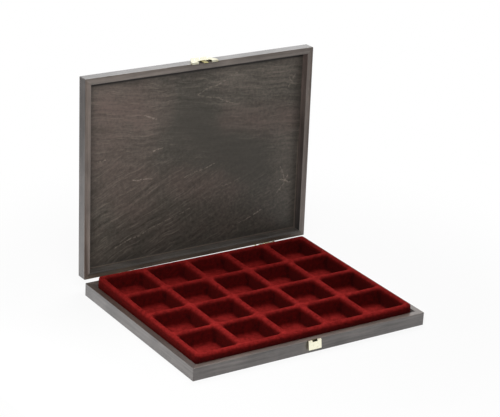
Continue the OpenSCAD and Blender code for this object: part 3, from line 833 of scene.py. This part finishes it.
def pocketShading(t, plan, normal, pitch, openHalf):
    # painted light and shade that follow the slope: crests are brightest where they cross, floors brighten to
    # their middle and to the front left, and walls that face left are darker
    arc = shoulderArc
    onCrest = 1 + len(arc)
    inFloor = len(t["floorRings"])
    deep = np.zeros(t["wallSteps"] + t["arcSteps"] + inFloor)
    crest = np.concatenate([[1.0], np.cos(arc) ** 2, deep])
    shoulder = np.concatenate([[0.0], np.sin(2 * arc) ** 2, deep])
    upright = np.concatenate([np.zeros(onCrest), np.ones(t["wallSteps"]), np.cos(arc[1:]) ** 2,
                              np.zeros(inFloor)])
    floor = np.concatenate([np.zeros(onCrest + t["wallSteps"]), np.sin(arc[1:]) ** 2 * t["floorLight"][0],
                            t["floorLight"][1:]])
    fromCrossing = ((np.abs(plan) - pitch / 2) ** 2).sum(-1)
    crossing = t["crestLight"] + (1 - t["crestLight"]) * np.exp(-fromCrossing / t["crossingReach"] ** 2)
    slant = 1 - t["floorSlant"] * (plan / openHalf).sum(-1)
    facing = np.maximum(normal, 0) @ np.array(t["shoulderShading"])
    awayShade = np.maximum(normal[:, 0], 0) * t["wallShade"]
    return (crest[:, None] * crossing + floor[:, None] * slant + shoulder[:, None] * facing
            + upright[:, None] * awayShade)


def pocketCell(t, pitch):
    # one pocket and half of each crest round it: from the cell's edge, met along each normal, the section's
    # levels run round rounded squares to the floor, and the floor's rings to its middle
    section, corners = pocketSection(t)
    openHalf = pitch / 2 - t["crestFlat"]
    rings = np.stack([pocketPath(openHalf - inset, corner, t)[0]
                      for inset, corner in zip(section[:, 0], corners)])
    path, normal = pocketPath(openHalf, t["pocketCorner"], t)
    inward = np.array(t["floorRings"])[:, None, None] * rings[-1]
    slope = np.maximum(np.abs(normal), t["touching"])
    edge = path + normal * ((pitch / 2 - np.abs(path)) / slope).min(axis=1)[:, None]
    plan = np.concatenate([edge[None], rings, inward])
    floorTop = trayFloor + t["pile"]
    level = np.concatenate([[trayTop + t["pile"]], section[:, 1], np.full(len(inward), floorTop)])
    points = np.concatenate([addLevel(plan, level).reshape(-1, 3), [[0, 0, floorTop]]])
    paintedShading = np.append(pocketShading(t, plan, normal, pitch, openHalf).ravel(), t["floorLight"][-1])
    rows, cols = plan.shape[:2]
    last = (rows - 1) * cols + np.arange(cols)
    fan = np.stack([last, np.roll(last, -1), np.full(cols, rows * cols)], -1)
    return points, paintedShading, gridQuads(rows, cols), fan, edge


def skirtPath(edge, places, half, t):
    # points of the border's crest line in order, with outward normals; a corner repeats through its turn
    whole = (edge + places[:, None]).reshape(-1, 2)
    turn = np.linspace(0, math.pi / 2, t["cornerSteps"] + 1)[:, None]
    points, normals = [], []
    for quarter, outward in enumerate(np.array([(1, 0), (0, 1), (-1, 0), (0, -1)], float)):
        ahead = np.array([-outward[1], outward[0]])
        reach, run = half[::-1] if quarter % 2 else half
        onSide = whole[np.abs(whole @ outward - reach) < t["touching"]]
        along = np.unique(np.round(onSide @ ahead, t["digits"]))
        along = along[np.abs(along) < run - t["touching"]]
        points += [outward * reach + along[:, None] * ahead,
                   np.tile(outward * reach + ahead * run, (len(turn), 1))]
        normals += [np.tile(outward, (len(along), 1)), np.cos(turn) * outward + np.sin(turn) * ahead]
    return np.concatenate(points), np.concatenate(normals)


def cornerReach(points, normals, half, radius):
    # share of the border's width that each point reaches, so that the tray's corners are arcs of the radius:
    # along the normal n from q, |q + t n| = radius gives t = -q.n + sqrt((q.n)^2 - q.q + radius^2)
    side = np.where(points < 0, -1.0, 1.0)
    q = points * side - (half + halfCrest - radius)
    n = normals * side
    along = (q * n).sum(1)
    arc = -along + np.sqrt(np.maximum(along ** 2 - (q ** 2).sum(1) + radius ** 2, 0))
    inCorner = (q + n * halfCrest > 0).all(1)
    return np.where(inCorner, np.minimum(arc, halfCrest), halfCrest) / halfCrest


def traySkirt(t, border, normals, half):
    # the border's crest line, carried out over the shoulder and down to the seat; pile stands on top alone
    arc = shoulderArc
    out = np.concatenate([[0], t["crestFlat"] + t["crestRound"] * np.sin(arc),
                          [halfCrest + t["skirtLean"] / 2, halfCrest + t["skirtLean"]]])
    drop = np.concatenate([[trayTop + t["pile"]],
                           trayTop - t["crestRound"] + (t["crestRound"] + t["pile"]) * np.cos(arc),
                           [(trayTop + trayLow[2]) / 2, trayLow[2]]])
    reach = cornerReach(border, normals, half, t["trayCorner"])
    plan = border + normals * out[:, None, None] * reach[:, None]
    # painted light over the skirt's crest and shoulders, painted shade down the skirt
    paintedShading = np.concatenate([[t["crestLight"]], t["crestLight"] * np.cos(arc) ** 2, [t["skirtShading"]] * 2])
    shoulder = np.concatenate([[0.0], np.sin(2 * arc) ** 2, [0, 0]])
    facing = np.abs(normals) @ np.array(t["skirtShoulder"])
    return addLevel(plan, drop), paintedShading[:, None] + shoulder[:, None] * facing


def joinPoints(points, paintedShading, quads, fan, digits):
    # points that coincide become one, and quads with a repeated corner triangles, read on from the repeat
    _, first, same = np.unique(np.round(points, digits), axis=0, return_index=True, return_inverse=True)
    quads, fan = same.ravel()[quads], same.ravel()[fan]
    repeats = quads == np.roll(quads, 1, axis=1)
    pinched = repeats.any(1)
    turns = (repeats[pinched].argmax(1)[:, None] + np.arange(3)) % 4
    tris = np.take_along_axis(quads[pinched], turns, axis=1)
    tris = tris[(tris != np.roll(tris, 1, axis=1)).all(1)]
    return points[first], paintedShading[first], [quads[~pinched], fan, tris]


def makeTray(t):
    # the same cell at every place of the pattern, and the skirt round them
    half = (trayHigh - trayLow)[:2] / 2 - t["skirtLean"] - halfCrest
    counts = (t["cols"], t["rows"])
    pitch = 2 * half / counts
    cell, cellShading, quads, fan, edge = pocketCell(t, pitch)
    middles = [(np.arange(count) - (count - 1) / 2) * step for count, step in zip(counts, pitch)]
    places = np.stack(np.meshgrid(*middles, indexing="ij"), -1).reshape(-1, 2)
    skirt, skirtShading = traySkirt(t, *skirtPath(edge, places, half, t), half)
    offsets = np.concatenate([places, np.zeros((len(places), 1))], -1)
    points = np.concatenate([(cell + offsets[:, None]).reshape(-1, 3), skirt.reshape(-1, 3)])
    paintedShading = np.concatenate([np.tile(cellShading, len(places)), skirtShading.ravel()])
    starts = (np.arange(len(places)) * len(cell))[:, None, None]
    skirtQuads = gridQuads(*skirt.shape[:2])[:, ::-1] + len(places) * len(cell)
    quads = np.concatenate([(quads + starts).reshape(-1, 4), skirtQuads])
    fan = (fan + starts).reshape(-1, 3)
    # the sheet springs up towards the back, most at the left; the left border is narrowed, both sides
    # darkened with painted shade
    back = np.clip((points[:, 1] + half[1]) / (2 * half[1]), 0, 1) ** 2
    left = np.clip((half[0] - points[:, 0]) / (2 * half[0]), 0, 1)
    points[:, 2] += back * (t["springBack"] + t["springLeft"] * left ** 2)
    inside = np.clip(1 + (points[:, 0] + half[0]) / halfCrest, 0, 1)
    points[:, 0] -= t["leftPull"] * left ** t["pullPower"] * inside
    paintedShading = paintedShading - np.stack([left, 1 - left], -1) ** t["sideShadePower"] @ np.array(t["sideShade"])
    points, paintedShading, faces = joinPoints(points, paintedShading, quads, fan, t["digits"])
    piece = addPiece("coinTray", "coin_tray", points, faces, {}, flockMaterial, "tray")
    piece.data.attributes.new("paintedShading", "FLOAT", "POINT").data.foreach_set("value", paintedShading.astype(np.float32))
    shell = piece.modifiers.new("sheet", "SOLIDIFY")
    shell.thickness = t["sheet"] + t["pile"]
    shell.offset = -1.0


makeTray(tray)
print("tray made")


# Brass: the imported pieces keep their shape, with their edges eased

brassEdges = {
    "widths": {"hinge_leaf": 0.00015, "hinge_pin": 0.0001, "catch_box": 0.0003, "clasp_plate": 0.0003,
               "clasp_tongue": 0.0001, "nails": 0.00008},
    "join": 0.000005, "easeSteps": 3, "flatAngle": 1.5, "easeAngle": 35,  # degrees
}


def dressBrass(node, width, edges):
    # points are joined and flat faces merged, so that only the true edges are eased
    obj = frame["nodes"][node]
    obj.data.materials.clear()
    obj.data.materials.append(brassMaterials["tongue" if node == "clasp_tongue" else node.split("_")[0]])
    weld = obj.modifiers.new("join", "WELD")
    weld.merge_threshold = edges["join"]
    flat = obj.modifiers.new("flat", "DECIMATE")
    flat.decimate_type = "DISSOLVE"
    flat.angle_limit = math.radians(edges["flatAngle"])
    ease = obj.modifiers.new("ease", "BEVEL")
    ease.width = width
    ease.segments = edges["easeSteps"]
    ease.limit_method = "ANGLE"
    ease.angle_limit = math.radians(edges["easeAngle"])


for node in frame["nodes"]:
    for part, width in brassEdges["widths"].items():
        if part in node:
            dressBrass(node, width, brassEdges)
print("brass dressed")


# Stage: white floor, soft light

stage = {
    "floorSize": 6.0, "floorDrop": 0.0004, "floorGrey": 0.9, "worldLight": 0.05,
    "shadowNear": 0.22, "shadowFar": 0.55, "shadowShare": 0.10,  # metres from the middle, and share
    "fadeNear": 0.25, "fadeFar": 0.85, "fadeShare": 0.6,
}
white = (1.0, 1.0, 1.0, 1.0)


def seenWhite(tree):
    # 1 where the camera looks, straight, in a reflection or through glass, and 0 for the light on the object;
    # and 1 in a reflection alone
    path = addNode("LightPath", {}, tree).outputs
    indirect = mathNode("MAXIMUM", path["Is Glossy Ray"], path["Is Transmission Ray"])
    return mathNode("MAXIMUM", path["Is Camera Ray"], indirect), path["Is Glossy Ray"]


def makeWorld(s):
    bpy.context.scene.world = bpy.data.worlds.new("studio")
    tree = clearTree(bpy.context.scene.world)
    strength = mapRange(seenWhite(tree)[0], 0.0, 1.0, s["worldLight"], 1.0, "LINEAR")
    sky = addNode("Background", {"Color": white, "Strength": strength})
    addNode("OutputWorld", {"Surface": sky.outputs["Background"]})


def makeFloor(s):
    # the floor is lit by itself where it is seen, less a share near the object that still takes its shadow;
    # in reflections it fades away from the object
    half = s["floorSize"] / 2
    corners = np.array([(-half, -half), (half, -half), (half, half), (-half, half)])
    mesh = bpy.data.meshes.new("floor")
    mesh.from_pydata(np.insert(corners, 2, -s["floorDrop"], axis=1).tolist(), [], [(0, 1, 2, 3)])
    addObject("floor", mesh)
    material = bpy.data.materials.new("paleFloor")
    mesh.materials.append(material)
    tree = clearTree(material)
    seen, inGloss = seenWhite(tree)
    away = vectorNode("LENGTH", objectPlace(tree), output="Value")
    fade = mapRange(away, s["fadeNear"], s["fadeFar"], 0.0, s["fadeShare"])
    strength = minus(1.0, times(inGloss, fade))
    near = mapRange(away, s["shadowNear"], s["shadowFar"], 1 - s["shadowShare"], 1.0)
    grey = (s["floorGrey"], s["floorGrey"], s["floorGrey"], 1.0)
    matt = addNode("BsdfDiffuse", {"Color": grey}, tree).outputs["BSDF"]
    glow = addNode("Emission", {"Color": white, "Strength": strength}).outputs["Emission"]
    mix = addNode("MixShader", {"Fac": times(seen, near), 1: matt, 2: glow})
    addNode("OutputMaterial", {"Surface": mix.outputs["Shader"]})


lamps = {
    "backSoftbox": {"place": (0.42, 0.73, 1.62), "size": 0.9, "power": 16.3},
    "keySoftbox": {"place": (-0.406, -0.484, 0.599), "size": 0.4, "power": 4.3},
    "leftCard": {"place": (-0.37, -0.02, 0.05), "size": 0.2, "power": 0.3},
}
lampAim = (0.0, 0.0, 0.03)


def addLamp(name, lamp):
    # a square lamp whose back points away from its aim, with its top up
    data = bpy.data.lights.new(name, "AREA")
    data.size = lamp["size"]
    data.energy = lamp["power"]
    obj = addObject(name, data)
    away = np.array(lamp["place"]) - np.array(lampAim)
    away /= np.linalg.norm(away)
    right = np.cross((0.0, 0.0, 1.0), away)
    right /= np.linalg.norm(right)
    placeAxes(obj, right, np.cross(away, right), away, lamp["place"])
    obj.visible_camera = False


makeWorld(stage)
makeFloor(stage)
for name, lamp in lamps.items():
    addLamp(name, lamp)
print("stage and lamps set")
